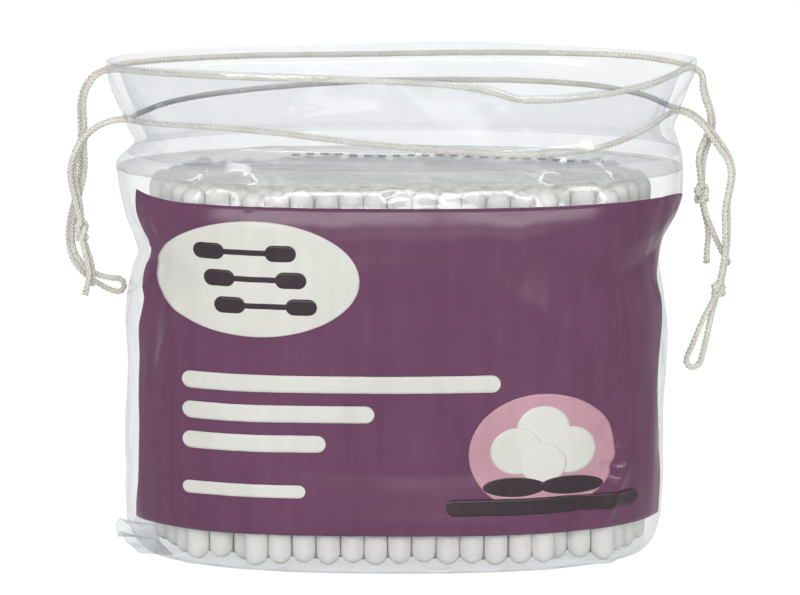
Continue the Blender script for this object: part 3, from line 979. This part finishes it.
TIP_PROFILE = [(0.0, 0.26), (0.012, 0.44), (0.04, 0.68), (0.085, 0.87), (0.15, 0.98), (0.24, 1.0), (0.62, 0.98),
               (0.80, 0.84), (1.0, 0.58)]
points = profile.mapping.curves[0].points
points[0].location, points[1].location = TIP_PROFILE[0], TIP_PROFILE[-1]
for place_size in TIP_PROFILE[1:-1]:
    points.new(*place_size)
profile.mapping.update()
girth = add_node(tip_tree, "ShaderNodeMath", {"operation": "MULTIPLY"},
                 {0: profile.outputs[0], 1: given["Tip Radius"]})
circle = add_node(tip_tree, "GeometryNodeCurvePrimitiveCircle", {}, {"Resolution": given["Sides"], "Radius": 1.0})
body = add_node(tip_tree, "GeometryNodeCurveToMesh", {},
                {"Curve": spine.outputs[0], "Profile Curve": circle.outputs[0], "Scale": girth.outputs[0],
                 "Fill Caps": True})
spin = add_node(tip_tree, "FunctionNodeRandomValue", {"data_type": "FLOAT"},
                {2: 0.0, 3: 2 * math.pi, "Seed": given["Seed"]})
lean = add_node(tip_tree, "ShaderNodeCombineXYZ", {}, {0: given["Half Turn"], 2: spin.outputs[1]})
grow = add_node(tip_tree, "FunctionNodeRandomValue", {"data_type": "FLOAT_VECTOR"},
                {0: (0.97, 0.97, 0.95), 1: (1.03, 1.03, 1.04), "Seed": given["Seed"]})
copies = add_node(tip_tree, "GeometryNodeInstanceOnPoints", {},
                  {"Points": given["Places"], "Instance": body.outputs[0], "Rotation": lean.outputs[0],
                   "Scale": grow.outputs[0]})
real = add_node(tip_tree, "GeometryNodeRealizeInstances", {}, {0: copies.outputs[0]})
here = add_node(tip_tree, "GeometryNodeInputPosition")
cloudy = add_node(tip_tree, "ShaderNodeTexNoise", {}, {"Vector": here.outputs[0], "Scale": 1 / (1.9 * MM), "Detail": 2.0})
centred = add_node(tip_tree, "ShaderNodeMath", {"operation": "SUBTRACT"}, {0: cloudy.outputs[0], 1: 0.5})
push = add_node(tip_tree, "ShaderNodeMath", {"operation": "MULTIPLY"}, {0: centred.outputs[0], 1: given["Lumps"]})
facing = add_node(tip_tree, "GeometryNodeInputNormal")
offset = add_node(tip_tree, "ShaderNodeVectorMath", {"operation": "SCALE"},
                  {0: facing.outputs[0], "Scale": push.outputs[0]})
lumpy = add_node(tip_tree, "GeometryNodeSetPosition", {}, {"Geometry": real.outputs[0], "Offset": offset.outputs[0]})
soft = add_node(tip_tree, "GeometryNodeSetShadeSmooth", {}, {"Geometry": lumpy.outputs[0]})
finish = add_node(tip_tree, "GeometryNodeSetMaterial", {}, {"Geometry": soft.outputs[0], "Material": given["Finish"]})
tip_tree.links.new(finish.outputs[0], result.inputs[0])
print("tip tree has", len(tip_tree.nodes), "nodes")

# %% [markdown]
# ## Setting out the swabs
# The swabs stand in eleven rows that nest like bottles in a crate, each a half step beside the next. They
# do not stand quite level. Only the outer rows are seen close, so their tips get more faces, and the
# hidden ones stay simple.

# %% The swabs: tips above and below, and the sticks between
SWAB_LENGTH, SWAB_FOOT, LIFT_RANGE, STICK_COVER = 75.0, 0.4, 0.6, 1.6
swab_rows = [row for row, count in enumerate(ROW_COUNTS) for _ in range(count)]
swab_lifts = [LIFT_RANGE * ((7 * place + 11 * row) % 5) / 4
              for row, count in enumerate(ROW_COUNTS) for place in range(count)]
rng = np.random.default_rng(12)
jitter = rng.uniform(-0.10, 0.10, (len(SWAB_AXES), 2))
feet = np.column_stack([SWAB_AXES + jitter, SWAB_FOOT + np.array(swab_lifts)])
swab_rows = np.array(swab_rows)
near = (swab_rows < 3) | (swab_rows > 8) | (np.abs(SWAB_AXES[:, 0]) > 36.0)
for end, rise, half_turn in (("top", SWAB_LENGTH, 0.0), ("base", 0.0, math.pi)):
    for zone, chosen, rings_across, sides in (("outer", near, 11, 14), ("inner", ~near, 8, 9)):
        piece = grown("%s_tips_%s" % (end, zone), tip_tree, feet[chosen] + (0, 0, rise), {
            "Tip Length": 12.5 * MM, "Tip Radius": 2.33 * MM, "Rings": rings_across, "Sides": sides,
            "Half Turn": half_turn, "Lumps": 0.35 * MM, "Seed": 5 if rise else 8, "Finish": cotton_wool})
        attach(piece, "root")
        if zone == "outer":
            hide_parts(*["row_%02d_%s_tips" % (row, end) for row in range(1, 12)])
        print(piece.name, len(piece.data.polygons), "faces")

# Rolled paper: a strip wound into a tight tube, matt and slightly cream, with a faint spiral seam
rolled_paper, tree, output = new_material("rolled_paper")
place = add_node(tree, "ShaderNodeTexCoord")
fibre = add_node(tree, "ShaderNodeTexNoise", {}, {"Vector": place.outputs["Object"], "Scale": 1 / (0.8 * MM), "Detail": 4.0})
colour = add_node(tree, "ShaderNodeMix", {"data_type": "RGBA"},
                  {0: fibre.outputs[0], 6: linear("#E2DFD6"), 7: linear("#F1EFE9")})
seam = add_node(tree, "ShaderNodeTexWave", {"wave_type": "BANDS", "bands_direction": "Z"},
                {"Vector": place.outputs["Object"], "Scale": 1 / (22 * MM), "Distortion": 2.0})
bump = add_node(tree, "ShaderNodeBump", {}, {"Strength": 0.3, "Distance": 0.05 * MM, "Height": seam.outputs["Fac"]})
shader = add_node(tree, "ShaderNodeBsdfPrincipled", {},
                  {"Base Color": colour.outputs[2], "Roughness": 0.75, "Normal": bump.outputs[0]})
tree.links.new(shader.outputs[0], output.inputs[0])

stick_tree, given, result = new_tree("sticks on points", [("Length", "Float"), ("Radius", "Float"), ("Sides", "Int"),
                                                          ("Finish", "Material")])
top = add_node(stick_tree, "ShaderNodeCombineXYZ", {}, {2: given["Length"]})
line = add_node(stick_tree, "GeometryNodeCurvePrimitiveLine", {}, {"Start": (0, 0, 0), "End": top.outputs[0]})
circle = add_node(stick_tree, "GeometryNodeCurvePrimitiveCircle", {}, {"Resolution": given["Sides"], "Radius": given["Radius"]})
tube = add_node(stick_tree, "GeometryNodeCurveToMesh", {},
                {"Curve": line.outputs[0], "Profile Curve": circle.outputs[0], "Fill Caps": True})
copies = add_node(stick_tree, "GeometryNodeInstanceOnPoints", {}, {"Points": given["Places"], "Instance": tube.outputs[0]})
real = add_node(stick_tree, "GeometryNodeRealizeInstances", {}, {0: copies.outputs[0]})
soft = add_node(stick_tree, "GeometryNodeSetShadeSmooth", {}, {"Geometry": real.outputs[0]})
finish = add_node(stick_tree, "GeometryNodeSetMaterial", {}, {"Geometry": soft.outputs[0], "Material": given["Finish"]})
stick_tree.links.new(finish.outputs[0], result.inputs[0])
sticks = grown("swab_sticks", stick_tree, feet + (0, 0, STICK_COVER),
               {"Length": (SWAB_LENGTH - 2 * STICK_COVER) * MM, "Radius": 1.15 * MM, "Sides": 10, "Finish": rolled_paper})
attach(sticks, "root")
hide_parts(*["row_%02d_sticks" % row for row in range(1, 12)])
print(len(feet), "swabs,", len(sticks.data.polygons), "stick faces")

# %% [markdown]
# ## Floor, light and background
# The bag stands on a plain white floor in a bright room. Seen straight, the floor and the room are pure white,
# but they light the bag at a plain level, so that pale cotton does not burn out. Light Path tells the two
# apart. Three soft lamps add shape: a large one from the upper left, a long strip in front that
# draws the highlight along the top of the print, and one from above for the tips.

# %% Floor and world
floor_material, tree, output = new_material("white_floor")
rays = add_node(tree, "ShaderNodeLightPath")
seen = add_node(tree, "ShaderNodeMath", {"operation": "ADD"},
                {0: rays.outputs["Is Camera Ray"], 1: rays.outputs["Is Glossy Ray"]})
clear = add_node(tree, "ShaderNodeMath", {"operation": "ADD", "use_clamp": True},
                 {0: seen.outputs[0], 1: rays.outputs["Is Transmission Ray"]})
lift = add_node(tree, "ShaderNodeMath", {"operation": "MULTIPLY"}, {0: clear.outputs[0], 1: 0.8})
shine = add_node(tree, "ShaderNodeEmission", {}, {"Color": linear("#FFFFFF"), "Strength": 1.18})
matt = add_node(tree, "ShaderNodeBsdfDiffuse", {}, {"Color": linear("#F4F4F4")})
both = add_node(tree, "ShaderNodeMixShader", {}, {0: lift.outputs[0], 1: matt.outputs[0], 2: shine.outputs[0]})
tree.links.new(both.outputs[0], output.inputs[0])
floor = mesh_piece("floor", [(-4000, -4000, -0.06), (4000, -4000, -0.06), (4000, 4000, -0.06), (-4000, 4000, -0.06)],
                   [(0, 1, 2, 3)], floor_material, smooth=False)

world = bpy.data.worlds.new("bright_room")
bpy.context.scene.world = world
world.use_nodes = True
world.node_tree.nodes.clear()
rays = add_node(world.node_tree, "ShaderNodeLightPath")
seen = add_node(world.node_tree, "ShaderNodeMath", {"operation": "ADD"},
                {0: rays.outputs["Is Camera Ray"], 1: rays.outputs["Is Glossy Ray"]})
clear = add_node(world.node_tree, "ShaderNodeMath", {"operation": "ADD", "use_clamp": True},
                 {0: seen.outputs[0], 1: rays.outputs["Is Transmission Ray"]})
ROOM_LIGHT = 0.30
level = add_node(world.node_tree, "ShaderNodeMapRange", {}, {"Value": clear.outputs[0], "To Min": ROOM_LIGHT, "To Max": 1.0})
sky = add_node(world.node_tree, "ShaderNodeBackground", {}, {"Color": linear("#FFFFFF"), "Strength": level.outputs[0]})
room = add_node(world.node_tree, "ShaderNodeOutputWorld", {}, {0: sky.outputs[0]})

# %% Lamps
def soft_lamp(name, place, aim, width, height, watts):
    """A rectangular lamp in metres that looks at a point."""
    lamp = bpy.data.objects.new(name, bpy.data.lights.new(name, "AREA"))
    lamp.data.shape = "RECTANGLE"
    lamp.data.size, lamp.data.size_y, lamp.data.energy = width, height, watts
    lamp.location = place
    lamp.rotation_euler = (Vector(aim) - Vector(place)).to_track_quat("-Z", "Y").to_euler()
    bpy.context.scene.collection.objects.link(lamp)
    return lamp


soft_lamp("key", (-0.55, -0.85, 0.85), (0, 0, 0.05), 0.7, 0.6, 1.3)
soft_lamp("front_strip", (0.0, -1.25, 0.52), (0, 0, 0.07), 2.4, 0.2, 13.5)
soft_lamp("low_front", (0.1, -1.3, 0.10), (0, 0, 0.03), 1.2, 0.3, 1.5)
soft_lamp("above", (0.15, 0.25, 1.1), (0, 0, 0.08), 0.8, 0.6, 2.8)

# %% [markdown]
# ## Finish
# Colours are shown as they are, without a film look. The two boxes, of the frame's solids and of the
# finished pieces, are written down to be compared, and the last line checks that everything rides on the
# frame.

# %% View, sizes and the last check
bpy.context.scene.view_settings.view_transform = "Standard"
